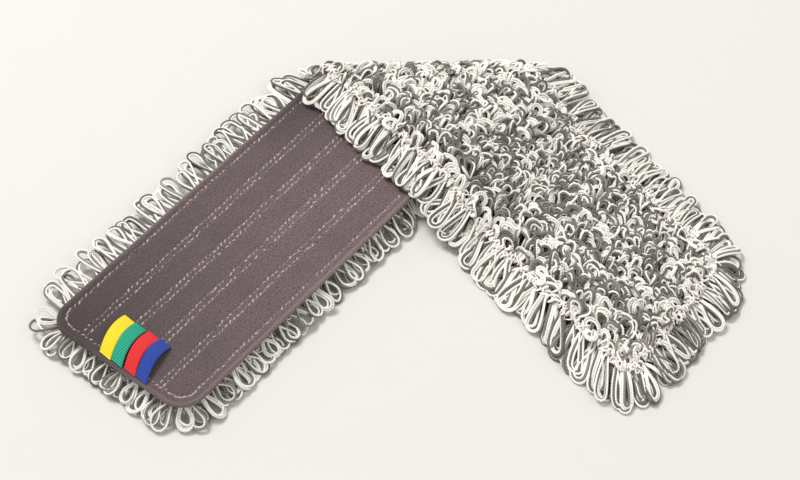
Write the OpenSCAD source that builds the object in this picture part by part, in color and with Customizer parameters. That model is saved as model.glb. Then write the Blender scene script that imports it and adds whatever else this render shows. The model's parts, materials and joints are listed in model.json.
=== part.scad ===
// Looped-yarn flat mop pad, folded once across its length.
// Every piece is drawn on the flat pad first: the backing on top, the yarn below, and the crease
// along X through the origin of the pattern. Bodies past the crease are then folded into place.

/* [Pad] */
// Length of the backing from end to end
pad_len = 600; // [520:10:640]
// Width of the backing
pad_w = 125; // [115:1:130]
// Radius of the backing's corners
corner_r = 18; // [16:1:22]
// Thickness of the velour backing
backing_t = 2; // [1.6:0.1:3]
// Thickness of the base cloth that carries the yarn
base_t = 1; // [0.6:0.1:1.5]
// Depth of the looped pile
pile_h = 15; // [12:1:18]

/* [Fringe] */
// How far the edge loops stand out past the hem
fringe_out = 20; // [14:1:24]
// How far inside the hem the edge loops start
fringe_in = 12; // [8:1:13]
// Depth of the edge loops at their tips
tip_h = 7; // [5:1:9]

/* [Fold] */
// Angle between the pad's length and the crease
fold_angle = 51; // [50:1:55]
// Length of the rear half from its end to the middle of the crease
rear_len = 334; // [320:1:345]
// Half the gap between the two backings where they lie face to face
half_gap = 0.4; // [0.3:0.1:0.8]
// Slope length of the stretch that drops off the rear half
ramp_len = 55; // [50:1:65]
// How far past the rear half's hem that stretch starts
ramp_start = 3; // [2:1:6]

/* [Seams] */
// Distance between two rows of yarn, and between their double seams
row_pitch = 22.6; // [21:0.2:23]
// Distance between the two stitch lines of a double seam
needle_gauge = 4; // [3:0.5:5]
// Distance of the hem's stitch line from the edge
hem_in = 7; // [5:0.5:9]
// Width of a stitch line
thread_w = 0.8; // [0.6:0.1:1.2]

/* [Ribbons] */
// Width of one colour ribbon
ribbon_w = 10.4; // [8:0.2:11]
// Distance between neighbouring ribbons
ribbon_pitch = 10.9; // [10.6:0.1:12]
// Length of a ribbon's free part, measured straight
ribbon_reach = 33; // [28:1:40]
// Height of its arch
ribbon_rise = 6.5; // [4:0.5:9]
// Offset of the outermost ribbon from the pad's middle
ribbon_first = 11.2; // [8:0.2:14]
// Sideways lean of the ribbons
ribbon_lean = 9; // [0:1:12]

/* [Hidden] */
$fn = 96;

velour = [0.42, 0.37, 0.37];
cloth = [0.75, 0.73, 0.70];
yarn = [0.80, 0.79, 0.76];
yarn_dark = [0.62, 0.61, 0.59];
thread = [0.66, 0.60, 0.60];
yellow = [0.98, 0.91, 0.18];
green = [0.12, 0.66, 0.53];
red = [0.93, 0.23, 0.21];
blue = [0.13, 0.28, 0.66];

// Heights on the flat pad
base_z = pile_h;
backing_z = pile_h + base_t;
top_z = backing_z + backing_t;
front_len = pad_len - rear_len;

// Fold lines: the crease lies along X at fold_z. The two ramp lines run parallel to the rear
// half's hem, at these distances from the pattern's origin.
fold_z = top_z + half_gap;
flap_under = 2 * fold_z - top_z;
ramp_angle = asin(flap_under / ramp_len);
line_1 = pad_w / 2 + ramp_start;
line_2 = line_1 + ramp_len;

// Clearances at the fold lines
cut = 0.3;
pile_cut = top_z * tan(ramp_angle / 2) + cut;
cloth_cut = (backing_t + base_t) * tan(ramp_angle / 2) + cut;
far = 900;

// Seams sit flush in grooves a little wider and longer than the thread
groove_d = 0.4;
groove_w = thread_w + 0.1;

// Crease: the cloth and the loops that bend round the fold
loops_r = pile_h + 1.5;
crease_half = pad_w / 2 / sin(fold_angle);
crease_end = crease_half + 8;

// Ribbons: an arc of this radius and half angle
ribbon_t = 0.7;
ribbon_root = 2;
ribbon_lift = 0.6;
ribbon_r = (pow(ribbon_reach / 2, 2) + pow(ribbon_rise, 2)) / (2 * ribbon_rise);
ribbon_half = asin(ribbon_reach / 2 / ribbon_r);

// Origin: centre of the folded pad's footprint, on the surface that it lies on
tip_r = corner_r + fringe_out;
ramp_short = ramp_len * (1 - cos(ramp_angle));
low_x = -(rear_len - corner_r) * cos(fold_angle) - (pad_w / 2 - corner_r) * sin(fold_angle) - tip_r;
high_x = (front_len - corner_r) * cos(fold_angle) + (pad_w / 2 - corner_r) * sin(fold_angle)
    + tip_r - ramp_short * sin(fold_angle);
low_y = -(rear_len - corner_r) * sin(fold_angle) - (pad_w / 2 - corner_r) * cos(fold_angle) - tip_r;
high_y = loops_r;
origin = [(low_x + high_x) / 2, (low_y + high_y) / 2];

// ---- outlines of the flat pad ----

// Rounded outline of the pad, drawn along its own length
module outline(inset) {
    x0 = -rear_len + inset;
    x1 = front_len - inset;
    y1 = pad_w / 2 - inset;
    r = corner_r - inset;
    translate([x0 + r, -y1]) square([x1 - x0 - 2 * r, 2 * y1]);
    translate([x0, -y1 + r]) square([x1 - x0, 2 * (y1 - r)]);
    for (x = [x0 + r, x1 - r], y = [-y1 + r, y1 - r])
        translate([x, y]) circle(r);
}

// The stretch between two distances from the pattern's origin, measured square to the ramp lines
module band(from, to) {
    intersection() {
        rotate(90 - fold_angle) translate([from, -far]) square([to - from, 2 * far]);
        translate([-far, cut]) square([2 * far, far]);
    }
}

module rear_area() translate([-far, -far - cut]) square([2 * far, far]);
module flap_area(gap) band(-far, line_1 - gap);
module ramp_area(gap) band(line_1 + cut, line_2 - gap);
module front_area(gap) band(line_2 + gap, far);

// Straight strip of the pad between two offsets from its middle
module strip(from, to) translate([-far, from]) square([2 * far, to - from]);

// ---- pieces of the flat pad; children() is the outline of the body they belong to ----

// Height range, cut to the body's outline and to the pad's outline
module layer(z, t, inset)
    translate([0, 0, z]) linear_extrude(t) intersection() {
        children();
        rotate(fold_angle) outline(inset);
    }

// Middle of row number i, counted from the right-hand side
function row_mid(i) = (i - 2.5) * row_pitch;

module seam_lines(w) {
    end_in = hem_in + 2 * thread_w - w;
    for (i = [1 : 4], side = [-1, 1])
        intersection() {
            outline(end_in);
            strip(row_mid(i) + side * needle_gauge / 2 - w / 2,
                  row_mid(i) + side * needle_gauge / 2 + w / 2);
        }
    difference() {
        outline(hem_in - w / 2);
        outline(hem_in + w / 2);
    }
}

module backing() color(velour) difference() {
    layer(backing_z, backing_t, 0) children();
    translate([0, 0, top_z - groove_d]) linear_extrude(groove_d + 1)
        rotate(fold_angle) seam_lines(groove_w);
}

module base_cloth() color(cloth) layer(base_z, base_t, 3) children();

module seams() color(thread)
    translate([0, 0, top_z - groove_d]) linear_extrude(groove_d) intersection() {
        children();
        rotate(fold_angle) seam_lines(thread_w);
    }

// Row of loops: the outer rows reach to the edge loops
module row(i) {
    outer = pad_w / 2 - fringe_in - cut;
    low = i == 1 ? -outer : row_mid(i) - row_pitch / 2 + cut;
    high = i == 4 ? outer : row_mid(i) + row_pitch / 2 - cut;
    color(i % 2 == 0 ? yarn : yarn_dark) linear_extrude(pile_h) intersection() {
        children();
        rotate(fold_angle) intersection() {
            outline(fringe_in + cut);
            strip(low, high);
        }
    }
}

// Section of the edge loops, from the hem outwards: lying down past the yarn side on the rear
// half, and down past the backing on the parts that are turned over
function hanging_down() = [
    [-fringe_in, 0], [fringe_out, 0], [fringe_out, tip_h], [1, pile_h], [-fringe_in, pile_h]
];
function hanging_back() = [
    [-fringe_in, 0], [1, 0.6], [fringe_out, top_z - tip_h], [fringe_out, top_z - cut],
    [cut, top_z - cut], [cut, pile_h], [-fringe_in, pile_h]
];

// Edge loops along one long side: side is 1 on the left, -1 on the right
module side_loops(side, section) color(yarn) intersection() {
    rotate([0, 0, fold_angle])
        translate([-rear_len + corner_r, 0, 0]) mirror([0, side > 0 ? 0 : 1, 0])
        translate([0, pad_w / 2, 0]) rotate([90, 0, 90])
        linear_extrude(pad_len - 2 * corner_r) polygon(section);
    translate([0, 0, -1]) linear_extrude(top_z + 2) children();
}

// Edge loops round one end: the corner arcs and the stretch between them
module end_loops(section) color(yarn) {
    arc_section = [for (p = section) [p[0] + corner_r, p[1]]];
    y1 = pad_w / 2 - corner_r;
    for (side = [-1, 1])
        translate([0, side * y1, 0]) rotate([0, 0, side > 0 ? 90 : 180])
            rotate_extrude(angle = 90) polygon(arc_section);
    rotate([90, 0, 0]) translate([0, 0, -y1]) linear_extrude(2 * y1)
        polygon([for (p = arc_section) [-p[0], p[1]]]);
}

// ---- placement of the folded bodies ----

module placed() translate([-origin[0], -origin[1], 0]) children();

// Turns its children about a ramp line of the flat pad
module turned(line, angle)
    rotate([0, 0, 90 - fold_angle]) translate([line, 0, top_z]) rotate([0, angle, 0])
    translate([-line, 0, -top_z]) rotate([0, 0, fold_angle - 90]) children();

module on_rear() placed() children();
module on_flap() placed() translate([0, 0, fold_z]) rotate([180, 0, 0])
    translate([0, 0, -fold_z]) children();
module on_ramp() on_flap() turned(line_1, -ramp_angle) children();
module on_front() on_ramp() turned(line_2, ramp_angle) children();

// ---- rear half ----

module rear_backing() on_rear() backing() rear_area();
module rear_base() on_rear() base_cloth() rear_area();
module rear_row(i) on_rear() row(i) rear_area();
module rear_fringe_side(side) on_rear() side_loops(side, hanging_down()) rear_area();
module rear_fringe_end() on_rear() rotate([0, 0, fold_angle])
    translate([-rear_len + corner_r, 0, 0]) end_loops(hanging_down());
module rear_seams() on_rear() seams() rear_area();

// ---- flap: the triangle that lies on the rear half ----

module flap_backing() on_flap() backing() flap_area(cut);
module flap_base() on_flap() base_cloth() flap_area(cut);
module flap_row(i) on_flap() row(i) flap_area(cut);
module flap_fringe_left() on_flap() side_loops(1, hanging_back()) flap_area(cut);
module flap_seams() on_flap() seams() flap_area(cut);

// ---- ramp: the stretch that drops off the rear half ----

module ramp_backing() on_ramp() backing() ramp_area(cloth_cut);
module ramp_base() on_ramp() base_cloth() ramp_area(cloth_cut);
module ramp_row(i) on_ramp() row(i) ramp_area(pile_cut);
module ramp_fringe_side(side) on_ramp() side_loops(side, hanging_back()) ramp_area(pile_cut);
module ramp_seams() on_ramp() seams() ramp_area(cloth_cut);

// ---- front half ----

module front_backing() on_front() backing() front_area(cloth_cut);
module front_base() on_front() base_cloth() front_area(cloth_cut);
module front_row(i) on_front() row(i) front_area(pile_cut);
module front_fringe_side(side) on_front() side_loops(side, hanging_back()) front_area(pile_cut);
module front_fringe_end() on_front() rotate([0, 0, fold_angle])
    translate([front_len - corner_r, 0, 0]) rotate([0, 0, 180]) end_loops(hanging_back());
module front_seams() on_front() seams() front_area(cloth_cut);

// ---- crease: half tubes round the fold line ----

module half_tube(inner, outer, half_length)
    placed() translate([-half_length, 0, fold_z]) rotate([0, 90, 0])
    rotate_extrude(angle = 180) translate([inner, 0]) square([outer - inner, 2 * half_length]);

module crease_backing() color(velour) half_tube(half_gap, half_gap + backing_t, crease_half - 1);
module crease_base() color(cloth)
    half_tube(half_gap + backing_t, half_gap + backing_t + base_t, crease_half - 4);
module crease_loops() color(yarn)
    half_tube(half_gap + backing_t + base_t, loops_r, crease_end);

// ---- colour ribbons, sewn into the rear end's hem ----

module ribbon(i, tint) color(tint) on_rear() rotate([0, 0, fold_angle])
    translate([-rear_len + ribbon_root, ribbon_first - i * ribbon_pitch, top_z + ribbon_lift])
    rotate([0, 0, ribbon_lean])
    translate([ribbon_reach / 2, ribbon_w / 2, ribbon_rise - ribbon_r])
    rotate([90, 0, 0]) rotate([0, 0, 90 - ribbon_half]) rotate_extrude(angle = 2 * ribbon_half)
    translate([ribbon_r - ribbon_t / 2, 0]) square([ribbon_t, ribbon_w]);

rear_backing();
rear_base();
rear_row(1);  // rear_row_1
rear_row(2);  // rear_row_2
rear_row(3);  // rear_row_3
rear_row(4);  // rear_row_4
rear_fringe_side(1);  // rear_fringe_left
rear_fringe_side(-1);  // rear_fringe_right
rear_fringe_end();
rear_seams();
flap_backing();
flap_base();
flap_row(1);  // flap_row_1
flap_row(2);  // flap_row_2
flap_row(3);  // flap_row_3
flap_row(4);  // flap_row_4
flap_fringe_left();
flap_seams();
ramp_backing();
ramp_base();
ramp_row(1);  // ramp_row_1
ramp_row(2);  // ramp_row_2
ramp_row(3);  // ramp_row_3
ramp_row(4);  // ramp_row_4
ramp_fringe_side(1);  // ramp_fringe_left
ramp_fringe_side(-1);  // ramp_fringe_right
ramp_seams();
front_backing();
front_base();
front_row(1);  // front_row_1
front_row(2);  // front_row_2
front_row(3);  // front_row_3
front_row(4);  // front_row_4
front_fringe_side(1);  // front_fringe_left
front_fringe_side(-1);  // front_fringe_right
front_fringe_end();
front_seams();
crease_backing();
crease_base();
crease_loops();
ribbon(0, yellow);  // ribbon_yellow
ribbon(1, green);  // ribbon_green
ribbon(2, red);  // ribbon_red
ribbon(3, blue);  // ribbon_blue
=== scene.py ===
"""Looks of the folded looped-yarn mop pad: velour backing, yarn loops, seams and colour ribbons.

Everything is laid out on the flat pad first, in (along, across, height) from the middle of the
crease: the velour face is on top and the yarn below.
"""
import json
import math
import zlib

import bpy
import numpy as np
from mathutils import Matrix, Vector


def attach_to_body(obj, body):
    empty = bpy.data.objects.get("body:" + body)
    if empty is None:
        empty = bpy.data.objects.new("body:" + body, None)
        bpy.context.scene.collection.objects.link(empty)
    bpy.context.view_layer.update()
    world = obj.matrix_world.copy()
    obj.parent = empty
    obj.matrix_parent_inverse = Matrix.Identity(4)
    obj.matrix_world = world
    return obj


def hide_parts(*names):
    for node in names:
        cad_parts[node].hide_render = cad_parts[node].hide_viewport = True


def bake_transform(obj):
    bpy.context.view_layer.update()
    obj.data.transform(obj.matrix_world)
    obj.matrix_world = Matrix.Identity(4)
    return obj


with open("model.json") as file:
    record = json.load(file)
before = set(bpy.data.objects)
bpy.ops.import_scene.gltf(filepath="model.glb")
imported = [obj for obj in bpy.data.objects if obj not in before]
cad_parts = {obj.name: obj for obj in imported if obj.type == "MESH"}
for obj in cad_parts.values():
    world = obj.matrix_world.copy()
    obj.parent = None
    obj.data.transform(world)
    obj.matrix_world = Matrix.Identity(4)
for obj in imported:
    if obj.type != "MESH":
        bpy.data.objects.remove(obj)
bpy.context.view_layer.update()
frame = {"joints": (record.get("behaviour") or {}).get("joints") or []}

MM = 0.001
TAU = 2 * math.pi

# ---- the pad, with the dimensions of the CAD model ----
PAD_LENGTH = 600 * MM
PAD_WIDTH = 125 * MM
REAR_LENGTH = 334 * MM
FRONT_LENGTH = PAD_LENGTH - REAR_LENGTH
CORNER = 18 * MM
BACKING = 2 * MM
BASE = 1 * MM
PILE = 15 * MM
TOP = PILE + BASE + BACKING
HALF = PAD_WIDTH / 2
ROW_PITCH = 22.6 * MM
NEEDLE_GAUGE = 4 * MM
HEM_IN = 7 * MM
BASE_IN = 3 * MM

# ---- the ribbons, as they lie in the photo ----
RIBBON_WIDTH = 10.05 * MM
RIBBON_THICK = 0.7 * MM
RIBBON_PITCH = 10.1 * MM
RIBBON_GAP = 1.9 * MM
RIBBON_REACH = 34 * MM
RIBBON_RISE = 4.2 * MM
RIBBON_ROOT = 4.5 * MM
RIBBON_FIRST = 5.7 * MM
RIBBON_LEAN = math.radians(13)
RIBBON_BOW = 2.0 * MM
RIBBON_SHEAR = 0.33
RIB_PITCH = 1.6 * MM

# ---- how the front half is pulled out of square in the photo ----
WARP_FROM = 120 * MM
DRAWN_OUT = 16 * MM
SLANT = 17 * MM
SHIFT = 5.5 * MM

# ---- fold lines, from the frame's joints ----
JOINTS = {j["name"]: j for j in frame["joints"]}
CREASE = np.array(JOINTS["fold"]["pos_m"])
TOP_LINE = np.array(JOINTS["ramp_top"]["pos_m"])
TOP_AXIS = np.array(JOINTS["ramp_top"]["axis"])
FOOT_LINE = np.array(JOINTS["ramp_foot"]["pos_m"])
FOOT_AXIS = np.array(JOINTS["ramp_foot"]["axis"])
ANGLE = math.atan2(-TOP_AXIS[1], -TOP_AXIS[0])
ALONG = np.array([math.cos(ANGLE), math.sin(ANGLE)])
ACROSS = np.array([-math.sin(ANGLE), math.cos(ANGLE)])
DOWNHILL = np.array([math.sin(ANGLE), -math.cos(ANGLE), 0.0])
RAMP_RUN = float((FOOT_LINE - TOP_LINE) @ DOWNHILL)
RAMP_ANGLE = math.atan2(TOP_LINE[2] - FOOT_LINE[2], RAMP_RUN)
RAMP_LENGTH = RAMP_RUN / math.cos(RAMP_ANGLE)
HALF_BEND = 12 * MM * DOWNHILL
MID_RAMP = float((TOP_LINE - CREASE) @ DOWNHILL) + RAMP_LENGTH / 2

# The pad is made in three regions; flap and front meet at the middle of the ramp
REGIONS = ("rear", "flap", "front")
BODIES = (("rear",), ("flap", "ramp"), ("front",))
NOT_IN_CAD = ("flap_fringe_end", "ramp_fringe_end", "flap_fringe_right")


def rng_for(name):
    """Random numbers that depend on the piece's name only."""
    return np.random.default_rng(zlib.crc32(name.encode()))


# ---- from the flat pad to the folded one ----

def open_xy(points):
    """Row-frame x and y, before folding, of (along, across, ...) points."""
    xy = points[..., :1] * ALONG + points[..., 1:2] * ACROSS
    return xy + CREASE[:2]


def beyond_crease(points):
    """How far (along, across) points are past the crease, and how far downhill when folded."""
    xy = open_xy(points) - CREASE[:2]
    return xy[..., 1], xy[..., 0] * DOWNHILL[0] - xy[..., 1] * DOWNHILL[1]


def region_of(points):
    """Number in REGIONS of each (along, across) point."""
    past, downhill = beyond_crease(points)
    return np.where(past < 0, 0, np.where(downhill < MID_RAMP, 1, 2))


def turn(points, pivot, axis, angle):
    """points turned about a line; angle is one number or one per point."""
    p = points - pivot
    c = np.cos(angle)[..., None]
    s = np.sin(angle)[..., None]
    return pivot + p * c + np.cross(axis, p) * s + np.outer(p @ axis, axis) * (1 - c)


def smooth_share(points, start, end):
    d = end - start
    t = np.clip((points - start) @ d / (d @ d), 0, 1)
    return t * t * (3 - 2 * t)


def bent(points, rest, pivot, axis, start, end):
    share = smooth_share(points, start, end)
    for _ in range(10):
        moved = turn(points, pivot, axis, -RAMP_ANGLE * share)
        share = smooth_share(rest(moved), start, end)
    return turn(points, pivot, axis, -RAMP_ANGLE * share)


def drawn_out(points):
    """The front end lies pulled out of square: its left side is longer than its right side."""
    t = np.clip((points[:, 0] - WARP_FROM) / (FRONT_LENGTH - WARP_FROM), 0, 1)
    t = t * t * (3 - 2 * t)
    out = points.copy()
    out[:, 0] += t * (DRAWN_OUT + SLANT * points[:, 1] / HALF)
    out[:, 1] += t * SHIFT
    return out


def fold_over(points, region):
    """Row-frame place, at rest, of (along, across, height) points of one region."""
    flat = points.reshape(-1, 3)
    if region == 2:
        flat = drawn_out(flat)
    out = np.concatenate([open_xy(flat), flat[:, 2:3]], axis=1)
    if region > 0:
        out[:, 1] = 2 * CREASE[1] - out[:, 1]
        out[:, 2] = 2 * CREASE[2] - out[:, 2]
        if region == 1:
            out = bent(out, lambda p: p, TOP_LINE, TOP_AXIS,
                       TOP_LINE - HALF_BEND, TOP_LINE + HALF_BEND)
        else:
            pivot = TOP_LINE + RAMP_LENGTH * DOWNHILL
            down = lambda p: turn(p, TOP_LINE, TOP_AXIS, -RAMP_ANGLE)
            out = down(bent(out, down, pivot, FOOT_AXIS,
                            FOOT_LINE - HALF_BEND, FOOT_LINE + HALF_BEND))
    return out.reshape(points.shape)


def nodes_of(region, part):
    """The CAD nodes of one part of the pad that lie in a region."""
    names = [f"{body}_{part}" for body in BODIES[region]]
    return [name for name in names if name not in NOT_IN_CAD]


def attach(piece, region, part=None):
    """Parents a piece of the rear to the rear body, bakes the transform of any other piece, and
    hides the CAD nodes of a part that the piece stands for.
    """
    if region == 0:
        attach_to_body(piece, "rear")
    elif region == 1:
        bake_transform(piece)
    else:
        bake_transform(piece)
    if part:
        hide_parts(*nodes_of(region, part))


# ---- meshes ----

def new_mesh(name, points, quads, material, uv, tone=None):
    """A smooth object from points and quads, with UV maps and a tone per point if given."""
    mesh = bpy.data.meshes.new(name)
    mesh.vertices.add(len(points))
    mesh.vertices.foreach_set("co", points.astype(np.float32).ravel())
    mesh.loops.add(quads.size)
    mesh.loops.foreach_set("vertex_index", quads.astype(np.int32).ravel())
    mesh.polygons.add(len(quads))
    mesh.polygons.foreach_set("loop_start", np.arange(0, quads.size, 4, dtype=np.int32))
    mesh.polygons.foreach_set("use_smooth", np.full(len(quads), True))
    for layer_name, values in uv.items():
        layer = mesh.uv_layers.new(name=layer_name)
        layer.data.foreach_set("uv", values.astype(np.float32).ravel())
    if tone is not None:
        mesh.attributes.new("tone", "FLOAT", "POINT").data.foreach_set(
            "value", tone.astype(np.float32))
    mesh.update(calc_edges=True)
    mesh.validate()
    mesh.materials.append(material)
    obj = bpy.data.objects.new(name, mesh)
    bpy.context.scene.collection.objects.link(obj)
    return obj


def shell(rows, columns):
    """Quads of a closed shell between two grids of points, the first grid's side outwards."""
    index = np.arange(rows * columns).reshape(rows, columns)
    cells = np.stack([index[:-1, :-1], index[1:, :-1], index[1:, 1:], index[:-1, 1:]], -1)
    cells = cells.reshape(-1, 4)
    rim = np.concatenate([index[0, :-1], index[:-1, -1], index[-1, :0:-1], index[:0:-1, 0]])
    after = np.roll(rim, -1)
    size = rows * columns
    walls = np.stack([rim, after, after + size, rim + size], -1)
    return np.concatenate([cells, cells[:, ::-1] + size, walls])


# corners of a strand's section
SIDES = 6


def unit(v):
    return v / np.maximum(np.linalg.norm(v, axis=-1, keepdims=True), 1e-12)


def heading_to(angle):
    """Unit vectors in the flat pad's plane, at each angle from the pad's length."""
    return np.stack([np.cos(angle), np.sin(angle)], -1)


def angle_of(vectors):
    """The angle of each vector from the pad's length."""
    return np.arctan2(vectors[:, 1], vectors[:, 0])


def tubes(paths, normals, radius):
    """Ring points (tubes, stations, SIDES, 3) round paths (tubes, stations, 3)."""
    tangent = unit(np.gradient(paths, axis=1))
    across = unit(np.cross(tangent, normals))
    normal = np.cross(across, tangent)
    turns = np.arange(SIDES) * TAU / SIDES
    ring = (np.cos(turns)[:, None] * across[:, :, None, :]
            + np.sin(turns)[:, None] * normal[:, :, None, :])
    return paths[:, :, None, :] + ring * radius[:, :, None, None]


def tube_mesh(name, parts, region, material):
    """One mesh of closed tubes. parts are (ring points, tone per tube), on the flat pad."""
    points, quads, tones, strand_uv, cell_uv = [], [], [], [], []
    total = sum(len(ring) for ring, _ in parts)
    columns = max(1, int(math.sqrt(total / 8)))
    rows = math.ceil(total / columns)
    first_point = 0
    first_tube = 0
    for ring, tone in parts:
        count, stations = ring.shape[:2]
        index = np.arange(count * stations * SIDES).reshape(count, stations, SIDES)
        a = index[:, :-1]
        b = np.roll(a, -1, axis=2)
        c = index[:, 1:]
        d = np.roll(c, -1, axis=2)
        side_quads = np.stack([a, b, d, c], axis=-1)
        caps = np.concatenate([index[:, :1, [0, 3, 2, 1]], index[:, :1, [0, 5, 4, 3]],
                               index[:, -1:, [0, 1, 2, 3]], index[:, -1:, [0, 3, 4, 5]]], axis=1)
        quads.append(side_quads.reshape(-1, 4) + first_point)
        quads.append(caps.reshape(-1, 4) + first_point)
        length = np.linalg.norm(np.diff(ring.mean(axis=2), axis=1), axis=2)
        run = np.concatenate([np.zeros((count, 1)), np.cumsum(length, axis=1)], axis=1)
        u0 = np.broadcast_to(run[:, :-1, None], a.shape)
        u1 = np.broadcast_to(run[:, 1:, None], a.shape)
        v0 = np.broadcast_to(np.arange(SIDES) / SIDES, a.shape)
        v1 = v0 + 1 / SIDES
        u = np.stack([u0, u0, u1, u1], -1)
        v = np.stack([v0, v1, v1, v0], -1)
        strand_uv.append(np.stack([u, v], -1).reshape(-1, 2))
        strand_uv.append(np.zeros((count * 16, 2)))
        number = np.arange(count) + first_tube
        corner = np.stack([number % columns / columns, number // columns / rows], -1)
        scale = np.array([0.94 / columns, 0.8 / rows])
        share = np.stack([u / run[:, -1].reshape(-1, 1, 1, 1), v], -1)
        cell = corner[:, None, None, None, :] + share * scale
        cell_uv.append(cell.reshape(-1, 2))
        cell_uv.append(np.repeat(corner, 16, axis=0) + scale / 2)
        points.append(ring.reshape(-1, 3))
        tones.append(np.repeat(tone, stations * SIDES))
        first_point += count * stations * SIDES
        first_tube += count
    place = fold_over(np.concatenate(points), region)
    return new_mesh(name, place, np.concatenate(quads), material,
                    uv={"strand": np.concatenate(strand_uv), "OFBake": np.concatenate(cell_uv)},
                    tone=np.concatenate(tones))


def pieces_by_region(name, root, parts, material, part=None):
    """One piece in each region, of the tubes that are rooted there."""
    where = region_of(root)
    for region, prefix in enumerate(REGIONS):
        here = where == region
        chosen = [(ring[here], tone[here]) for ring, tone in parts]
        piece = tube_mesh(f"{prefix}_{name}", chosen, region, material)
        attach(piece, region, part)


# ---- materials ----

def colour(r, g, b):
    """Linear RGBA from sRGB levels of 0 to 255."""
    levels = [v / 255 for v in (r, g, b)]
    return [v / 12.92 if v <= 0.04045 else ((v + 0.055) / 1.055) ** 2.4 for v in levels] + [1.0]


# a wave texture's bands repeat every BAND / scale
BAND = math.pi / 10


class Shader:
    """A material's node tree, with short calls that add and link nodes."""

    def __init__(self, name, roughness):
        self.material = bpy.data.materials.new(name)
        self.material.use_nodes = True
        self.tree = self.material.node_tree
        self.surface = self.tree.nodes["Principled BSDF"]
        self.surface.inputs["Roughness"].default_value = roughness

    def link(self, value, socket):
        if isinstance(value, bpy.types.NodeSocket):
            self.tree.links.new(value, socket)
        else:
            socket.default_value = value

    def node(self, kind, **inputs):
        n = self.tree.nodes.new("ShaderNode" + kind)
        for key, value in inputs.items():
            self.link(value, n.inputs[key.replace("_", " ")])
        return n

    def uv(self, name):
        n = self.node("UVMap")
        n.uv_map = name
        return n.outputs["UV"]

    def place(self):
        return self.node("TexCoord").outputs["Object"]

    def attribute(self, name):
        n = self.node("Attribute")
        n.attribute_name = name
        return n.outputs["Fac"]

    def scaled(self, vector, x, y, z=1.0, spin=0.0):
        return self.node("Mapping", Vector=vector, Scale=(x, y, z),
                         Rotation=(0, 0, spin)).outputs["Vector"]

    def noise(self, vector, scale, detail=3.0, roughness=0.5):
        return self.node("TexNoise", Vector=vector, Scale=scale, Detail=detail,
                         Roughness=roughness).outputs["Fac"]

    def wave(self, vector, scale, distortion=0.0):
        return self.node("TexWave", Vector=vector, Scale=scale,
                         Distortion=distortion).outputs["Fac"]

    def math(self, operation, a, b=0.0):
        n = self.tree.nodes.new("ShaderNodeMath")
        n.operation = operation
        self.link(a, n.inputs[0])
        self.link(b, n.inputs[1])
        return n.outputs[0]

    def fit(self, value, low, high, to_low=0.0, to_high=1.0):
        return self.node("MapRange", Value=value, From_Min=low, From_Max=high,
                         To_Min=to_low, To_Max=to_high).outputs["Result"]

    def mix(self, share, a, b, blend="MIX"):
        n = self.tree.nodes.new("ShaderNodeMix")
        n.data_type = "RGBA"
        n.blend_type = blend
        self.link(share, n.inputs[0])
        self.link(a, n.inputs[6])
        self.link(b, n.inputs[7])
        return n.outputs[2]

    def finish(self, base, bump, distance, strength, sheen=0.0):
        self.link(base, self.surface.inputs["Base Color"])
        self.surface.inputs["Specular IOR Level"].default_value = 0.25
        if sheen:
            self.surface.inputs["Sheen Weight"].default_value = sheen
            self.surface.inputs["Sheen Roughness"].default_value = 0.5
        n = self.node("Bump", Height=bump, Distance=distance, Strength=strength)
        self.tree.links.new(n.outputs["Normal"], self.surface.inputs["Normal"])
        return self.material


def velour_material():
    """Brushed loop cloth: mottled, pale at its rim and in its seams, with painted shade that
    darkens it towards the rear end, the left edge and the crease."""
    m = Shader("velour", 0.95)
    flat = m.uv("flat")
    fibres = m.noise(m.scaled(flat, 980, 640), 1.0, 5.0, 0.85)
    tufts = m.noise(flat, 260.0, 3.0, 0.7)
    patches = m.noise(flat, 30.0, 3.0, 0.6)
    ribs = m.wave(m.scaled(flat, 1, 0.12), 130.0, 4.0)
    place = m.node("SeparateXYZ", Vector=flat)
    along, across = place.outputs["X"], place.outputs["Y"]
    to_crease = m.math("ADD", m.math("MULTIPLY", along, math.sin(ANGLE)),
                       m.math("MULTIPLY", across, math.cos(ANGLE)))
    # painted shade: darker over the last 174 mm of the rear end, along the left edge, and within
    # 70 mm of the crease on both sides; it stays in every pose
    rear_end_shade = m.math("MULTIPLY", m.fit(along, -REAR_LENGTH, -0.16, 0.85, 0.0),
                      m.fit(across, -0.05, 0.03, 0.3, 1.0))
    left_edge_shade = m.math("MULTIPLY", m.fit(across, -0.02, 0.055, 0.0, 0.4),
                       m.fit(along, -0.24, -0.1, 0.0, 1.0))
    crease_shade = m.fit(m.math("ABSOLUTE", to_crease), 0.0, 0.07, 0.45, 0.0)
    tone = m.attribute("tone")
    seam = m.math("MULTIPLY", m.fit(tone, -0.15, -0.7), m.fit(fibres, 0.46, 0.6))
    base = m.mix(m.fit(fibres, 0.36, 0.64), colour(40, 30, 31), colour(152, 130, 131))
    base = m.mix(m.fit(tufts, 0.42, 0.6, 0.0, 0.5), base, colour(124, 105, 106))
    base = m.mix(m.fit(patches, 0.35, 0.7, 0.0, 0.3), base, colour(80, 68, 69))
    base = m.mix(m.fit(ribs, 0.0, 1.0, 0.0, 0.2), base, colour(70, 59, 60))
    base = m.mix(m.fit(tone, 0.1, 0.8, 0.0, 0.55), base, colour(158, 138, 139))
    base = m.mix(m.fit(tone, -0.1, -0.9, 0.0, 0.35), base, colour(70, 58, 59))
    base = m.mix(m.math("MULTIPLY", seam, 0.6), base, colour(182, 164, 164))
    # the painted shade, mixed into the velour's colour
    painted_shade = m.math("ADD", m.math("ADD", rear_end_shade, left_edge_shade), crease_shade)
    base = m.mix(m.math("MINIMUM", painted_shade, 0.92), base, colour(60, 50, 51))
    height = m.math("ADD", m.math("MULTIPLY", fibres, 1.2), m.math("MULTIPLY", ribs, 0.15))
    height = m.math("ADD", height, m.math("MULTIPLY", tufts, 0.6))
    return m.finish(base, height, 0.001, 0.9, sheen=0.12)


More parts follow.
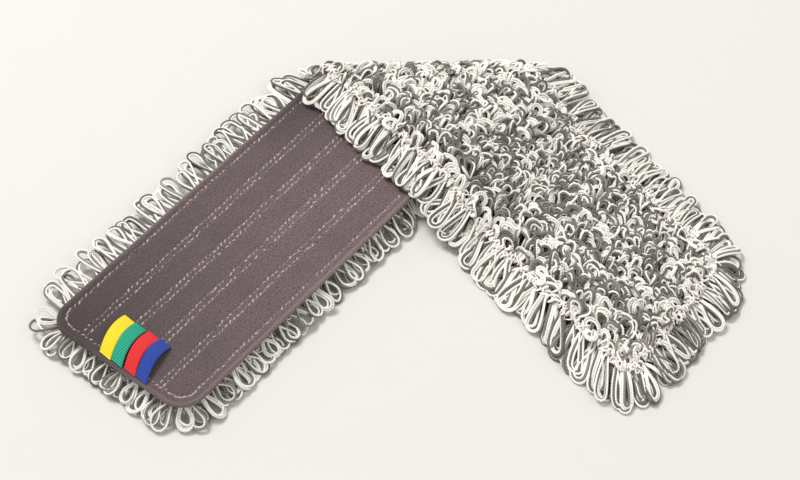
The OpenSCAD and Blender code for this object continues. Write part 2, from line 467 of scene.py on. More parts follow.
def yarn_material():
    """Soft twisted strands, white or grey by each strand's tone, with ply grooves."""
    m = Shader("yarn", 0.95)
    strand = m.uv("strand")
    tone = m.attribute("tone")
    fibres = m.noise(m.place(), 2600.0, 3.0, 0.7)
    patches = m.noise(m.place(), 90.0, 2.0, 0.5)
    ply = m.wave(m.scaled(strand, 1.0, 0.0016), 190.0)
    base = m.mix(tone, colour(252, 250, 243), colour(108, 102, 96))
    base = m.mix(m.fit(ply, 0.35, 0.0, 0.0, 0.22), base, colour(150, 143, 134), "MULTIPLY")
    base = m.mix(m.fit(patches, 0.3, 0.75, 0.0, 0.08), base, colour(168, 160, 148))
    base = m.mix(m.fit(fibres, 0.25, 0.75, 0.0, 0.1), base, colour(150, 144, 134), "MULTIPLY")
    height = m.math("ADD", m.math("MULTIPLY", ply, 0.6), fibres)
    return m.finish(base, height, 0.0003, 0.7, sheen=0.2)


def thread_material(name, light, dark):
    """Twisted sewing thread, darker where its tone says that it has sunk into the cloth."""
    m = Shader(name, 0.8)
    twist = m.wave(m.scaled(m.uv("strand"), 1.0, 0.001), 700.0)
    fibres = m.noise(m.place(), 3000.0, 2.0, 0.6)
    base = m.mix(m.attribute("tone"), light, dark)
    base = m.mix(m.fit(twist, 0.1, 0.9, 0.0, 0.3), base, dark)
    base = m.mix(m.fit(fibres, 0.3, 0.7, 0.0, 0.2), base, dark)
    return m.finish(base, twist, 0.00012, 0.6)


def shade_dark_base_material():
    """Woven base cloth under the loops, coloured dark grey as painted shade for the gaps between
    the loops.
    """
    m = Shader("base_cloth", 0.95)
    flat = m.uv("flat")
    warp = m.wave(flat, 320.0)
    weft = m.wave(m.scaled(flat, 1, 1, spin=math.pi / 2), 320.0)
    weave = m.math("MULTIPLY", warp, weft)
    # painted shade: the dark greys stand for the shade between the loops
    base = m.mix(weave, colour(50, 46, 43), colour(92, 87, 82))
    return m.finish(base, weave, 0.0003, 0.8)


def ribbon_material(name, light, dark):
    """Ribbed ribbon, dark between the ribs that run across it."""
    m = Shader(name, 0.62)
    flat = m.uv("flat")
    ribs = m.wave(m.scaled(flat, 1, 0), BAND / RIB_PITCH)
    fibres = m.noise(m.scaled(flat, 900, 3200), 1.0, 3.0, 0.6)
    base = m.mix(m.fit(ribs, 0.1, 0.9, 0.85, 0.0), light, dark)
    base = m.mix(m.fit(fibres, 0.3, 0.7, 0.0, 0.25), base, dark)
    return m.finish(base, m.math("ADD", ribs, fibres), 0.0002, 0.7, sheen=0.1)


def floor_material():
    """Plain pale paper with a faint grain."""
    m = Shader("floor", 0.75)
    grain = m.noise(m.place(), 60.0, 2.0, 0.5)
    return m.finish(m.mix(m.fit(grain, 0.3, 0.7, 0.0, 0.3), colour(211, 209, 205),
                          colour(209, 207, 203)), grain, 0.0001, 0.1)


VELOUR = velour_material()
YARN = yarn_material()
STITCH = thread_material("stitch_thread", colour(204, 186, 186), colour(108, 94, 95))
CHAIN = thread_material("chain_thread", colour(254, 251, 246), colour(222, 212, 206))
# base cloth coloured dark as painted shade between the loops
SHADE_DARK_BASE_CLOTH = shade_dark_base_material()

# ---- outline of the pad ----

def outline_at(run, inset):
    """Point and outward normal at each distance along the outline, moved in by inset.

    run is measured at the hem, from the middle of the rear end, clockwise seen from above.
    """
    straight_end = 2 * (HALF - CORNER)
    straight_side = PAD_LENGTH - 2 * CORNER
    arc = CORNER * math.pi / 2
    legs = [straight_end / 2, arc, straight_side, arc, straight_end, arc, straight_side, arc,
            straight_end / 2]
    starts = np.concatenate([[0], np.cumsum(legs)])
    low = -REAR_LENGTH + CORNER
    high = FRONT_LENGTH - CORNER
    side = HALF - CORNER
    anchors = [(low, 0, 180), (low, side, 180), (low, side, 90), (high, side, 90),
               (high, side, 0), (high, -side, 0), (high, -side, -90), (low, -side, -90),
               (low, -side, -180)]
    run = np.mod(run, starts[-1])
    inset = np.broadcast_to(inset, (len(run), 1))
    point = np.zeros((len(run), 2))
    normal = np.zeros((len(run), 2))
    for k, (x, y, degrees) in enumerate(anchors):
        here = (run >= starts[k]) & (run < starts[k + 1] + 1e-12)
        d = run[here] - starts[k]
        straight = k % 2 == 0
        out = heading_to(math.radians(degrees) - d / CORNER * (not straight))
        ahead = heading_to(math.radians(degrees - 90)) * straight
        normal[here] = out
        point[here] = [x, y] + d[:, None] * ahead + out * (CORNER - inset[here])
    return point, normal


OUTLINE = 2 * (PAD_LENGTH + PAD_WIDTH) - 8 * CORNER + TAU * CORNER


def inset_of(points):
    """Distance inside the pad's outline of (along, across) points, negative outside."""
    x = points[..., 0] - (FRONT_LENGTH - REAR_LENGTH) / 2
    qx = np.abs(x) - (PAD_LENGTH / 2 - CORNER)
    qy = np.abs(points[..., 1]) - (HALF - CORNER)
    outside = np.hypot(np.maximum(qx, 0), np.maximum(qy, 0))
    return CORNER - outside - np.minimum(np.maximum(qx, qy), 0)


# ---- seams ----

ROW_MIDS = [(i - 1.5) * ROW_PITCH for i in range(4)]
SEAM_LINES = [mid + side * NEEDLE_GAUGE / 2 for mid in ROW_MIDS for side in (-1, 1)]
HEM_DIP = 0.62 * MM
ROW_DIP = 0.55 * MM
STITCH_PITCH = 3.9 * MM
STITCH_HALF = 1.5 * MM
# how far the velour, and the middle of its stitches, keep off the CAD face on the floor
VELOUR_CLEAR = 0.4 * MM
STITCH_CLEAR = 1.02 * MM
# length along the cloth over which it comes down to the floor from the middle of the ramp
LANDING = 14 * MM


def seam_dip(points):
    """How far the velour is pulled down by the stitch lines near each point."""
    across = points[..., 1]
    inset = inset_of(points)
    dip = HEM_DIP * np.exp(-((inset - HEM_IN) / (1.5 * MM)) ** 2)
    inside = np.clip((inset - HEM_IN) / (2 * MM), 0, 1)
    for line in SEAM_LINES:
        dip = np.maximum(dip, ROW_DIP * inside * np.exp(-((across - line) / (1.3 * MM)) ** 2))
    return dip


def on_floor(points):
    """0 to 1 from the middle of the ramp to the part that lies on the floor, velour down."""
    past, downhill = beyond_crease(points)
    return np.where(past > 0, np.clip((downhill - MID_RAMP) / LANDING, 0, 1), 0)


def velour_height(points):
    """Height of the velour face: swollen hem, slow waves, seams pulled in, a round edge."""
    s, w = points[..., 0], points[..., 1]
    inset = inset_of(points)
    swell = 0.35 * MM * np.clip(1 - np.abs(inset - HEM_IN / 2) / (HEM_IN / 2), 0, 1)
    lie = (0.35 * np.sin(s * 41 + 3 * np.sin(w * 37)) + 0.3 * np.sin(w * 83 + s * 23 + 1.3)
           + 0.2 * np.sin(s * 97 - w * 61 + 0.4)) * MM
    edge = np.clip(inset / (1.6 * MM), 0, 1)
    roll = 1.9 * MM * (1 - np.sqrt(np.clip(1 - (1 - edge) ** 2, 0, 1)))
    height = TOP + swell + lie * 0.6 - seam_dip(points) - roll
    return height - on_floor(points) * np.maximum(height - TOP + VELOUR_CLEAR, 0)


# ---- velour backing ----

def end_of(across, end):
    """Where the rear end (-1) or the front end (1) of the outline is, at each offset across."""
    over = np.maximum(np.abs(across) - (HALF - CORNER), 0)
    bulge = CORNER - np.sqrt(np.maximum(CORNER ** 2 - over ** 2, 0))
    return -REAR_LENGTH + bulge if end < 0 else FRONT_LENGTH - bulge


def crease_of(across):
    """Where the crease is, at each offset across."""
    return -across * math.cos(ANGLE) / math.sin(ANGLE)


def mid_ramp_of(across):
    """Where the middle of the ramp is, at each offset across."""
    return (MID_RAMP - across * math.cos(2 * ANGLE)) / math.sin(2 * ANGLE)


def across_stations(count):
    """Offsets across the pad, closer together near its two edges."""
    t = np.linspace(-1, 1, count)
    return HALF * (0.55 * t + 0.45 * np.sin(t * math.pi / 2))


def panel(name, low, high, step, top, bottom, region, material, inset=0.0):
    """A closed sheet of cloth between two curves along the pad."""
    w = across_stations(91) * (1 - inset / HALF)
    start, stop = low(w), high(w)
    count = int(np.max(stop - start) / step) + 2
    t = np.linspace(0, 1, count)[:, None]
    s = start + (stop - start) * t
    grid = np.stack([s, np.broadcast_to(w, s.shape)], axis=-1)
    upper = np.concatenate([grid, top(grid)[..., None]], axis=-1)
    lower = np.concatenate([grid, bottom(grid)[..., None]], axis=-1)
    quads = shell(*s.shape)
    points = np.concatenate([upper.reshape(-1, 3), lower.reshape(-1, 3)])
    place = fold_over(points, region)
    rim = np.exp(-((inset_of(points[:, :2]) - 1.2 * MM) / (1.6 * MM)) ** 2)
    tone = rim - seam_dip(points) / HEM_DIP
    sheet = new_mesh(name, place, quads, material, uv={"flat": points[quads.ravel(), :2]},
                     tone=tone)
    sheet.data.set_sharp_from_angle(angle=math.radians(50))
    return sheet


def declare_sheet(low, high, inset=0.0):
    """Works out where a panel of cloth starts and stops across the pad; nothing is kept."""
    half = HALF - inset
    w = np.linspace(-half, half, 401)
    start, stop = low(w), high(w)


def spans(inset):
    """The two curves that each region's cloth lies between, less inset at the pad's ends."""
    return [(lambda w: end_of(w, -1) + inset, crease_of),
            (crease_of, mid_ramp_of),
            (mid_ramp_of, lambda w: end_of(w, 1) - inset)]


def level(height):
    """A face of cloth at one height over the flat pad."""
    return lambda points: np.full(points.shape[:-1], height)


def make_cloth():
    """The velour and the base cloth of each region, and their turn round the crease."""
    crease_velour, crease_base = make_crease_cloth()
    for region, name in enumerate(REGIONS):
        low, high = spans(0.0)[region]
        velour = panel(name + "_velour", low, high, 1.7 * MM, velour_height,
                       level(TOP - BACKING), region, VELOUR)
        attach(velour, region, "backing")
        declare_sheet(low, high, 0.0)
        low, high = spans(BASE_IN)[region]
        base = panel(name + "_base_cloth", low, high, 6 * MM, level(PILE + 0.95 * BASE),
                     level(PILE), region, SHADE_DARK_BASE_CLOTH, inset=BASE_IN)
        attach(base, region, "base")
        declare_sheet(low, high, BASE_IN)


# ---- stitches on the velour ----

def stitch_centres(rng):
    """Middle and heading of every stitch on the velour face, on the flat pad."""
    middles, headings = [], []
    margin = HEM_IN + 2 * MM
    for line in SEAM_LINES:
        s = np.arange(-REAR_LENGTH + margin, FRONT_LENGTH - margin, STITCH_PITCH)
        s = s + rng.uniform(0, STITCH_PITCH)
        middles.append(np.stack([s, np.full(len(s), line)], -1))
        headings.append(np.zeros(len(s)))
    run = np.arange(0, OUTLINE, STITCH_PITCH * 0.98)
    point, normal = outline_at(run, HEM_IN)
    middles.append(point)
    headings.append(angle_of(normal) + math.pi / 2)
    middles = np.concatenate(middles)
    return middles + rng.normal(0, 0.28 * MM, middles.shape), np.concatenate(headings)


def make_stitches():
    """Stitches of the double seams and of the hem, on the velour."""
    rng = rng_for("stitches")
    middle, heading = stitch_centres(rng)
    heading = heading + rng.normal(0.2, 0.3, len(heading))
    fade = rng.beta(0.9, 1.3, len(heading))
    stations = np.linspace(-1, 1, 7)
    half = STITCH_HALF * rng.uniform(0.7, 1.25, len(heading))
    reach = stations[:, None] * half[:, None, None]
    flat = middle[:, None, :] + heading_to(heading)[:, None, :] * reach
    height = velour_height(flat) + 0.22 * MM - 0.45 * MM * np.abs(stations) ** 3
    height = height - on_floor(flat) * np.maximum(height - TOP + STITCH_CLEAR, 0)
    paths = np.concatenate([flat, height[..., None]], -1)
    radius = rng.uniform(0.5, 0.8, (len(paths), 1)) * MM * np.sqrt(1.02 - stations ** 4)
    rings = tubes(paths, np.broadcast_to([0.0, 0, 1], paths.shape), radius)
    pieces_by_region("stitches", middle, [(rings, fade)], STITCH, "seams")


# ---- yarn loops ----

# how far loops stay off the floor
FLOOR_GAP = 0.1 * MM
# from loop to loop along a row
LOOP_PITCH = 4.1 * MM
# lines of loops in a row, from the row's middle
LOOP_LINES = (-9.0 * MM, -4.4 * MM, 0.0, 4.4 * MM, 9.0 * MM)
# radius of a strand, and from one strand to the next, in the pile and at the edge
PILE_STRAND, PILE_SPREAD = 0.85 * MM, 1.6 * MM
EDGE_STRAND, EDGE_SPREAD = 0.8 * MM, 1.48 * MM
# share of a hairpin's run that one leg takes; the turn takes the rest between the two
LEG = 0.36


def hairpin(length, width, gap, stations):
    """Shares of length and offsets to the side along hairpins with round ends.

    The legs start a gap apart and end at the round turn, which is width across.
    """
    t = np.linspace(0, 1, stations)[None, :]
    leg = np.clip(np.minimum(t, 1 - t) / LEG, 0, 1)
    half_turn = np.clip((t - LEG) / (1 - 2 * LEG), 0, 1) * math.pi
    radius = width[:, None] / 2
    share = (leg * (length[:, None] - radius) + radius * np.sin(half_turn)) / length[:, None]
    opening = gap[:, None] / 2 + (radius - gap[:, None] / 2) * leg * leg * (3 - 2 * leg)
    turning = (t > LEG) & (t < 1 - LEG)
    side = np.where(turning, radius * np.cos(half_turn), opening * np.sign(0.5 - t))
    return share, side


def loop_paths(root, azimuth, spine, shape, sway, roll):
    """Paths (loops, stations, 3) of loops that go out along a spine and come back.

    spine gives how far out and how far down from the base cloth each loop's spine is, for a
    share 0 to 1 of its length, and shape is from hairpin(). roll turns the loop's plane about
    its spine. Returns the paths and the normals of the loops' planes.
    """
    q, side = shape
    side = side + sway[:, None] * q * q
    out, down = spine(q)
    before, after = spine(np.maximum(q - 0.001, 0)), spine(np.minimum(q + 0.001, 1))
    slope = unit(np.stack([after[0] - before[0], after[1] - before[1]], -1))
    flat_side = side * np.cos(roll)[:, None]
    out = out - side * np.sin(roll)[:, None] * slope[..., 1]
    down = down + side * np.sin(roll)[:, None] * slope[..., 0]
    ahead = heading_to(azimuth)[:, None, :]
    beside = np.stack([-ahead[..., 1], ahead[..., 0]], -1)
    flat = root[:, None, :] + ahead * out[..., None] + beside * flat_side[..., None]
    turned, straight = np.sin(roll)[:, None, None], np.cos(roll)[:, None, None]
    normal_flat = -ahead * slope[..., 1:] * straight - beside * turned
    normal = np.concatenate([normal_flat, -slope[..., :1] * straight], -1)
    return np.concatenate([flat, (PILE - down)[..., None]], -1), normal


def strands(paths, normals, rng, tones, radius, spread, twist, lay=0.8):
    """(ring points, tones) of the strands side by side in each loop.

    tones has one row per loop and one column per strand, from 0 for white to 1 for grey. lay
    is how far the strands' common plane may turn from the loop's plane.
    """
    count, stations = paths.shape[:2]
    t = np.linspace(0, 1, stations)
    tangent = unit(np.gradient(paths, axis=1))
    across = unit(np.cross(tangent, normals))
    normal = np.cross(across, tangent)
    phase = rng.uniform(-lay, lay, (count, 1)) + TAU * rng.normal(0, twist, (count, 1)) * t
    pinch = np.clip(0.35 + 3.0 * np.sin(math.pi * t), 0, 1)
    offsets = np.arange(tones.shape[1]) - (tones.shape[1] - 1) / 2
    parts = []
    for k, offset in enumerate(offsets):
        moved = (np.cos(phase)[..., None] * across + np.sin(phase)[..., None] * normal)
        place = paths + moved * (offset * spread * pinch)[:, None]
        thick = radius * rng.uniform(0.86, 1.12, (count, 1)) * np.ones((1, stations))
        tone = np.clip(tones[:, k] + rng.normal(0, 0.08, count), 0, 1)
        parts.append((tubes(place, normals, thick), tone))
    return parts


def past_crease(points, root):
    """How far points are from the crease, positive on their root's side of it."""
    side = np.where(region_of(root) == 0, -1.0, 1.0)
    past, _ = beyond_crease(points)
    return past * side.reshape(side.shape + (1,) * (past.ndim - 1))


def kept_clear(parts):
    """The same parts, kept under the cloth inside the outline, and off the floor."""
    for ring, _ in parts:
        inside = inset_of(ring[..., :2]) > 0
        ceiling = np.where(inside, PILE + 0.5 * MM, TOP - 0.6 * MM)
        ring[..., 2] = np.clip(ring[..., 2], FLOOR_GAP, ceiling)
    return parts


def lowered(parts, root):
    """The same parts, less tall near the crease on its upper side, where the fold is round."""
    ripple = 4.0 * MM * np.sin(root[:, 0] * 900 + root[:, 1] * 1300)[:, None, None]
    under = (region_of(root) == 0)[:, None, None]
    for ring, _ in parts:
        share = np.clip((past_crease(ring, root) + 6 * MM + ripple) / (18 * MM), 0.03, 1)
        tall = np.where(under, 1, 0.25 + 0.75 * np.sqrt(1 - (1 - share) ** 2))
        ring[..., 2] = PILE - (PILE - ring[..., 2]) * tall
    return parts


def turned_from_crease(root, azimuth, reach, past):
    """Directions turned along the crease where loops would else reach more than past over it."""
    towards = math.atan2(ACROSS[1], ALONG[1]) + np.where(region_of(root) == 0, 0, math.pi)
    least = np.arccos(np.clip((past_crease(root, root) + past) / reach, -1, 1))
    away = np.mod(azimuth - towards + math.pi, TAU) - math.pi
    return towards + np.where(away < 0, -1, 1) * np.maximum(np.abs(away), least)


def pick(rng, patterns, count):
    """One of the rows of patterns for each of count loops."""
    return np.array(patterns)[rng.integers(0, len(patterns), count)]


PILE_TONES = ((0.0, 1.0), (1.0, 0.0), (0.0, 0.95), (0.0, 0.1), (0.95, 0.9))
EDGE_TONES = ((0.0, 1.0, 0.0), (0.0, 0.95, 0.0), (0.0, 0.0, 1.0), (0.05, 0.0, 0.9),
              (1.0, 0.0, 0.0))
REAR_TONES = ((0.0, 1.0), (1.0, 0.0), (0.0, 0.95), (0.9, 0.0), (0.0, 0.1))
GREY_TONES = ((1.0, 0.0), (0.0, 1.0), (0.9, 1.0))


def pile_loops(root, azimuth, rng, size=1.0, whiter=0.0):
    """Rings and tones of short loops that stand up from the base cloth and curl over."""
    n = len(root)
    tilt = rng.uniform(0.0, 0.5, (n, 1))
    curl = rng.uniform(0.15, 1.15, (n, 1))
    length = size * rng.uniform(14.0, 18.0, n) * MM

    def spine(q):
        out = length[:, None] * (np.cos(tilt) - np.cos(tilt + curl * q)) / curl
        down = length[:, None] * (np.sin(tilt + curl * q) - np.sin(tilt)) / curl
        return out, (PILE - 1.2 * MM) * np.tanh(1.15 * down / PILE)

    width = rng.uniform(6.2, 9.8, n) * MM
    shape = hairpin(length, width, width * rng.uniform(0.4, 1.0, n), 18)
    paths, normals = loop_paths(root, azimuth, spine, shape, rng.normal(0, 1.8, n) * MM,
                                rng.normal(0, 0.5, n))
    tones = pick(rng, PILE_TONES, n) * np.where(rng.random((n, 1)) < whiter, 0.1, 1.0)
    parts = strands(paths, normals, rng, tones, PILE_STRAND, PILE_SPREAD, 0.05, lay=0.4)
    return kept_clear(lowered(parts, root))


def edge_loops(root, azimuth, rng, reach, start, tip, tones, open_by):
    """Rings and tones of long loops that lie outwards and come down at their tips."""
    n = len(root)
    length = reach * rng.uniform(0.86, 1.1, n)
    rise = rng.uniform(0.3, 2.6, (n, 1)) * MM
    end = tip[:, None] + rng.uniform(-1.2, 1.2, (n, 1)) * MM

    def spine(q):
        down = start[:, None] + (end - start[:, None]) * q ** 1.6 + rise * np.sin(math.pi * q)
        return length[:, None] * q, down

    width = open_by + rng.uniform(-1.4, 1.4, n) * MM
    shape = hairpin(length, width, rng.uniform(-1.5, 4.0, n) * MM, 26)
    paths, normals = loop_paths(root, azimuth, spine, shape, rng.normal(0, 2.0, n) * MM,
                                rng.normal(0, 0.22, n))
    return kept_clear(strands(paths, normals, rng, tones, EDGE_STRAND, EDGE_SPREAD, 0.12))


# which way the pile lies, from the pad's length, and how far that turns next to the crease
LEAN = math.radians(-113)
LEAN_BY_CREASE = math.radians(16)


def make_rows():
    """Four rows of pile loops, both sides of each double seam."""
    for number, mid in enumerate(ROW_MIDS, start=1):
        rng = rng_for(f"row_{number}")
        s = np.arange(-REAR_LENGTH + 12 * MM, FRONT_LENGTH - 12 * MM, LOOP_PITCH)
        roots = []
        for offset in LOOP_LINES:
            place = s + rng.uniform(0, LOOP_PITCH) + rng.normal(0, 0.7 * MM, len(s))
            across = mid + offset + rng.normal(0, 1.0 * MM, len(s))
            roots.append(np.stack([place, across], -1))
        root = np.concatenate(roots)
        from_crease = past_crease(root, root)
        beyond = (region_of(root) > 0) * np.clip(1.5 - from_crease / (80 * MM), 0, 1)
        spin = rng.normal(0, 0.55, len(root)) * (1 - 0.25 * beyond)
        azimuth = LEAN + LEAN_BY_CREASE * beyond + spin
        azimuth = turned_from_crease(root, azimuth, 8 * MM, 1 * MM)
        near = np.clip(1 - from_crease / (60 * MM), 0, 1)
        parts = pile_loops(root, azimuth, rng, 1 + 0.25 * near, 0.5 * near[:, None])
        pieces_by_region(f"row_{number}_loops", root, parts, YARN, f"row_{number}")


# Edge loops, from the layer next to the velour inwards: pitch along the edge of the rear and
# past the crease, how much shorter the loops are, how far below the base cloth they start, and
# whether they are mostly grey past the crease
FRINGE_LAYERS = (
    (10.4 * MM, 9.4 * MM, 0.0 * MM, 1.2 * MM, False),
    (10.4 * MM, 9.7 * MM, 1.5 * MM, 3.4 * MM, True),
    (60.0 * MM, 7.4 * MM, 1.0 * MM, 5.8 * MM, False),
)


def fringe_reach(root, normal):
    """Length of the edge loops, from the hem's stitch line, in metres."""
    left = np.clip(normal[:, 1], 0, 1) ** 2
    right = np.clip(-normal[:, 1], 0, 1) ** 2
    end = normal[:, 0] ** 2
    rear = (left * 34.0 + right * 18.0 + end * 19.0) * (1 - 0.6 * end * (left + right))
    to_end = np.clip((root[:, 0] - 90 * MM) / (150 * MM), 0, 1)
    front = left * 27.5 + right * (31.0 - 4.0 * to_end) + end * 27.0
    front = front * (1 - end * (0.9 * right + 0.7 * left))
    return np.where(region_of(root) == 0, rear, front) * MM


def fringe_skew(root, normal):
    """How far the edge loops lean along the edge."""
    return np.where(normal[:, 1] > 0.5, np.where(region_of(root) > 0, -0.36, -0.12), 0.0)


def make_fringe():
    """Edge loops all round, sewn in at the hem's stitch line, with short loops inside it."""
    rng = rng_for("fringe")
    loops = []
    for rear_pitch, pitch, shorter, start, grey in FRINGE_LAYERS:
        for on_rear, spacing in ((True, rear_pitch), (False, pitch)):
            run = np.arange(0, OUTLINE, spacing)
            run = run + rng.normal(0, 1.2 * MM, len(run))
            root, normal = outline_at(run, HEM_IN)
            keep = (region_of(root) == 0) == on_rear
            root, normal = root[keep], normal[keep]
            azimuth = (angle_of(normal) + fringe_skew(root, normal)
                       + rng.normal(0, 0.15 if on_rear else 0.22, len(root)))
            reach = fringe_reach(root, normal) - shorter
            azimuth = turned_from_crease(root, azimuth, reach, (8 if on_rear else 3) * MM)
            tip = np.where(normal[:, 1] > 0.5, 7.0, 11.5) if on_rear else -0.6
            tip = np.broadcast_to(tip, len(root)) * MM
            begin = start + rng.uniform(-0.8, 0.8, len(root)) * MM + on_rear * 1.5 * MM
            shades = REAR_TONES if on_rear else GREY_TONES if grey else EDGE_TONES
            tones = pick(rng, shades, len(root))
            if not on_rear:
                greyer = (normal[:, 0] > 0.5) & (rng.random(len(root)) < 0.7)
                tones = np.where(greyer[:, None], 1 - tones, tones)
            loops.append((root, edge_loops(root, azimuth, rng, reach, begin, tip, tones,
                                           (9.6 if on_rear else 7.8) * MM)))
    run = np.arange(0, OUTLINE, 4.0 * MM)
    root, normal = outline_at(run, HEM_IN + 2.5 * MM)
    azimuth = angle_of(-normal) + rng.normal(0, 0.8, len(run))
    azimuth = turned_from_crease(root, azimuth, 8 * MM, 1 * MM)
    loops.append((root, pile_loops(root, azimuth, rng, 1.0, whiter=0.45)))
    low, high = -REAR_LENGTH + CORNER, FRONT_LENGTH - CORNER

    def side_of(p):
        at_end = (p[:, 0] < low) | (p[:, 0] > high)
        return np.where(at_end, 0, np.where(p[:, 1] > 0, 1, 2))

    for number, side in enumerate(("fringe_end", "fringe_left", "fringe_right")):
        for region, name in enumerate(REGIONS):
            if not nodes_of(region, side):
                continue
            chosen = []
            for root, parts in loops:
                here = (side_of(root) == number) & (region_of(root) == region)
                if here.any():
                    chosen += [(ring[here], tone[here]) for ring, tone in parts]
            piece = tube_mesh(f"{name}_{side}_loops", chosen, region, YARN)
            attach(piece, region, side)


def make_chain():
    """White looper thread of the hem seam, in knots that gather the loops on the yarn side."""
    rng = rng_for("chain")
    knot = np.arange(0, OUTLINE, 4.7 * MM)
    run = np.repeat(knot, 6) + rng.normal(0, 1.1 * MM, 6 * len(knot))
    t = np.linspace(0, 1, 10)
    centre, normal = outline_at(run, HEM_IN + rng.normal(0, 1.7 * MM, (len(run), 1)))
    heading = angle_of(normal) + rng.normal(0, 0.65, len(run))
    ahead = heading_to(heading)
    beside = np.stack([-ahead[:, 1], ahead[:, 0]], -1)
    half = rng.uniform(1.8, 4.0, (len(run), 1)) * MM
    bow = rng.normal(0, 1.4, (len(run), 1)) * MM
    flat = (centre[:, None, :] + ahead[:, None, :] * (half * (2 * t - 1))[..., None]
            + beside[:, None, :] * (bow * np.sin(math.pi * t))[..., None])
    lift = rng.uniform(5.6, 8.8, (len(run), 1)) + 1.4 * np.sin(math.pi * t)
    paths = np.concatenate([flat, (PILE - lift * MM)[..., None]], -1)
    radius = rng.uniform(0.5, 0.88, (len(run), 1)) * MM * (1 - 0.5 * (2 * t - 1) ** 4)
    rings = tubes(paths, np.broadcast_to([0.0, 0, 1], paths.shape), radius)
    fade = rng.beta(1, 3, len(run))
    pieces_by_region("chain_seam", centre, [(rings, fade)], CHAIN)


# ---- crease ----

CREASE_HALF = HALF / math.sin(ANGLE)
# radii of the two cloths where they turn round the crease
VELOUR_TURN = (1.0 * MM, 2.4 * MM)
BASE_TURN = (2.4 * MM, 3.4 * MM)


def make_crease_cloth():
    """The narrow turn of both cloths round the crease."""
    pieces = []
    turn_angle = np.linspace(0, math.pi, 17)
    for name, radii, end, material, slot in (
            ("crease_velour", VELOUR_TURN, CREASE_HALF - 1 * MM, VELOUR, "velour"),
            ("crease_base_cloth", BASE_TURN, CREASE_HALF - 4 * MM, SHADE_DARK_BASE_CLOTH, "base_cloth")):
        x = np.linspace(-end, end, 81)
        faces = []
        for r in radii:
            face = np.stack(np.broadcast_arrays(
                CREASE[0] + x[None, :], CREASE[1] + r * np.sin(turn_angle)[:, None],
                CREASE[2] - r * np.cos(turn_angle)[:, None]), -1)
            faces.append(face.reshape(-1, 3))
        quads = shell(len(turn_angle), len(x))
        run = VELOUR_TURN[1] * turn_angle
        flat = np.stack(np.broadcast_arrays(x[None, :], run[:, None]), -1)
        flat = np.concatenate([flat.reshape(-1, 2)] * 2)
        piece = new_mesh(name, np.concatenate(faces), quads, material,
                         uv={"flat": flat[quads.ravel()]})
        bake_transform(piece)
        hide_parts(name.replace("_velour", "_backing").replace("_base_cloth", "_base"))
        pieces.append(piece)
    return pieces


def make_crease_loops():
    """The fan of loops on the outside of the crease."""
    rng = rng_for("crease")
    paths, normals = [], []
    root_radius = 3.4 * MM
    for elevation in (-85, -60, -35, -10, 15, 40, 65):
        count = int(2 * (CREASE_HALF + 6 * MM) / (5.4 * MM))
        first = -CREASE_HALF + (9 if elevation > 0 else -4) * MM
        x = np.linspace(first, CREASE_HALF + 4 * MM, count)
        x = x + rng.normal(0, 1.2 * MM, count)
        lift = np.radians(elevation + rng.normal(0, 15, (count, 1)))
        length = rng.uniform(3.8, 8.2, count) * (1.9 if elevation < -20 else 1) * MM
        curl = rng.uniform(0.1, 0.9, (count, 1))
        yaw = rng.normal(0.1, 0.35, (count, 1))
        q, side = hairpin(length, rng.uniform(4.6, 7.0, count) * MM,
                          rng.uniform(0.5, 3.5, count) * MM, 18)
        out = length[:, None] * (np.sin(lift + curl * q) - np.sin(lift)) / curl
        up = length[:, None] * (np.cos(lift) - np.cos(lift + curl * q)) / curl
        path = np.stack([CREASE[0] + x[:, None] + side + np.sin(yaw) * out,
                         CREASE[1] + root_radius * np.cos(lift) + out,
                         CREASE[2] + root_radius * np.sin(lift) + up], -1)
        slope = lift + curl * q
        paths.append(path)
        normals.append(np.stack([np.zeros_like(slope), -np.sin(slope), np.cos(slope)], -1))
    paths, normals = np.concatenate(paths), np.concatenate(normals)
    tones = pick(rng, PILE_TONES, len(paths))
    whiter = np.where(rng.random((len(paths), 1)) < 0.4, 0.1, 1)
    tones = tones * whiter
    parts = strands(paths, normals, rng, tones, PILE_STRAND, PILE_SPREAD, 0.15, lay=1.0)
    for ring, _ in parts:
        ring[..., 2] = np.maximum(ring[..., 2], FLOOR_GAP)
        # along and across the flat pad, as tube_mesh takes its points
        xy = ring[..., :2] - CREASE[:2]
        ring[..., :2] = np.stack([xy @ ALONG, xy @ ACROSS], -1)
    piece = tube_mesh("crease_loops_fan", parts, 0, YARN)
    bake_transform(piece)
    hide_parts("crease_loops")


# ---- ribbons ----

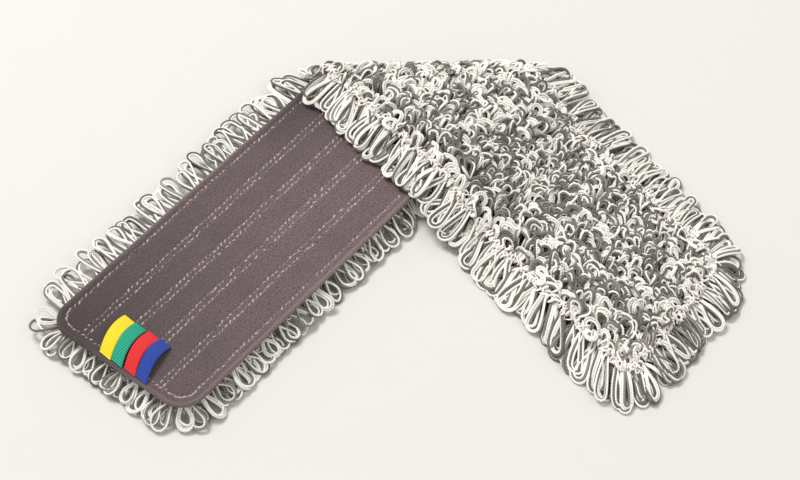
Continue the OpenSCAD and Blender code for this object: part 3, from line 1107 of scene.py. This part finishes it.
def make_ribbons():
    """Four ribbed colour ribbons, sewn in at the rear end, each in a low arch."""
    colours = {
        "yellow": (colour(252, 226, 34), colour(226, 180, 16)),
        "green": (colour(32, 184, 146), colour(4, 104, 84)),
        "red": (colour(232, 44, 42), colour(184, 22, 28)),
        "blue": (colour(34, 80, 186), colour(8, 26, 92)),
    }
    radius = ((RIBBON_REACH / 2) ** 2 + RIBBON_RISE ** 2) / (2 * RIBBON_RISE)
    half_angle = math.asin(RIBBON_REACH / 2 / radius)
    length = 2 * half_angle * radius
    stations = 181
    share = np.linspace(0, 1, stations)
    rib = 0.09 * MM * np.sin(share * length / RIB_PITCH * TAU)
    widths = 9
    for number, (name, (light, dark)) in enumerate(colours.items()):
        rng = rng_for(name)
        v = np.linspace(0, 1, widths)[None, :]
        bow = RIBBON_BOW + rng.uniform(-0.5, 0.5) * MM
        angle = (math.pi / 2 + half_angle) - 2 * half_angle * share[:, None]
        shape = []
        for sign in (1, -1):
            edge = np.clip(np.minimum(v, 1 - v) * RIBBON_WIDTH / (0.35 * MM), 0, 1)
            crown = 0.25 * MM * np.sin(math.pi * v) * np.sin(math.pi * share[:, None])
            half_thick = RIBBON_THICK / 2 * (0.55 + 0.45 * edge) + rib[:, None] * edge
            r = radius + sign * half_thick + crown
            x = RIBBON_REACH / 2 + r * np.cos(angle)
            z = RIBBON_RISE - radius + r * np.sin(angle)
            y = v * RIBBON_WIDTH + bow * np.sin(math.pi * share[:, None])
            x = x + RIBBON_SHEAR * (v * RIBBON_WIDTH - 0.7 * RIBBON_WIDTH)
            shape.append(np.stack(np.broadcast_arrays(x, y, z), -1).reshape(-1, 3))
        quads = shell(stations, widths)
        points = np.concatenate(shape)
        local = points[:, :2] @ np.array([[math.cos(RIBBON_LEAN), math.sin(RIBBON_LEAN)],
                                          [-math.sin(RIBBON_LEAN), math.cos(RIBBON_LEAN)]])
        gap = RIBBON_GAP * (number > 1)
        root = np.array([RIBBON_ROOT - REAR_LENGTH, RIBBON_FIRST - number * RIBBON_PITCH - gap])
        pad = np.concatenate([local + root, points[:, 2:] + TOP + 0.6 * MM], axis=1)
        run = np.repeat(share * length, widths)
        flat = np.stack([run, np.tile(v[0] * RIBBON_WIDTH, stations)], -1)
        flat = np.concatenate([flat, flat])
        piece = new_mesh(f"{name}_ribbon", fold_over(pad, 0), quads,
                         ribbon_material(f"ribbon_{name}", light, dark),
                         uv={"flat": flat[quads.ravel()]})
        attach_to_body(piece, f"ribbon_{name}")
        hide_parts(f"ribbon_{name}")


# ---- stage ----

def look_at(obj, target):
    direction = Vector(target) - obj.location
    obj.rotation_euler = direction.to_track_quat("-Z", "Y").to_euler()


def make_camera():
    azimuth = math.radians(-0.44)
    elevation = math.radians(50.8)
    distance = 1.814
    target = Vector((0.003, 0.0098, 0.0))
    data = bpy.data.cameras.new("camera")
    data.lens = 117
    data.sensor_width = 36
    camera = bpy.data.objects.new("camera", data)
    level = math.cos(elevation)
    camera.location = target + distance * Vector(
        (math.sin(azimuth) * level, -math.cos(azimuth) * level, math.sin(elevation)))
    look_at(camera, target)
    bpy.context.scene.collection.objects.link(camera)
    bpy.context.scene.camera = camera


def make_light(name, place, size, power):
    data = bpy.data.lights.new(name, "AREA")
    data.shape = "DISK"
    data.size = size
    data.energy = power
    light = bpy.data.objects.new(name, data)
    light.location = place
    look_at(light, (0, 0, 0))
    bpy.context.scene.collection.objects.link(light)


def make_stage():
    bpy.ops.mesh.primitive_plane_add(size=12)
    floor = bpy.context.object
    floor.name = "floor"
    floor.data.materials.append(floor_material())
    world = bpy.data.worlds.new("studio")
    world.use_nodes = True
    sky = world.node_tree.nodes["Background"]
    sky.inputs["Color"].default_value = colour(252, 251, 248)
    sky.inputs["Strength"].default_value = 0.69
    bpy.context.scene.world = world
    make_light("key", (-1.2, 1.15, 2.8), 1.4, 82)
    make_light("fill", (1.4, -1.0, 1.8), 2.0, 9)
    bpy.context.scene.view_settings.view_transform = "Standard"


make_cloth()
make_stitches()
make_rows()
make_fringe()
make_chain()
make_crease_loops()
make_ribbons()
make_camera()
make_stage()
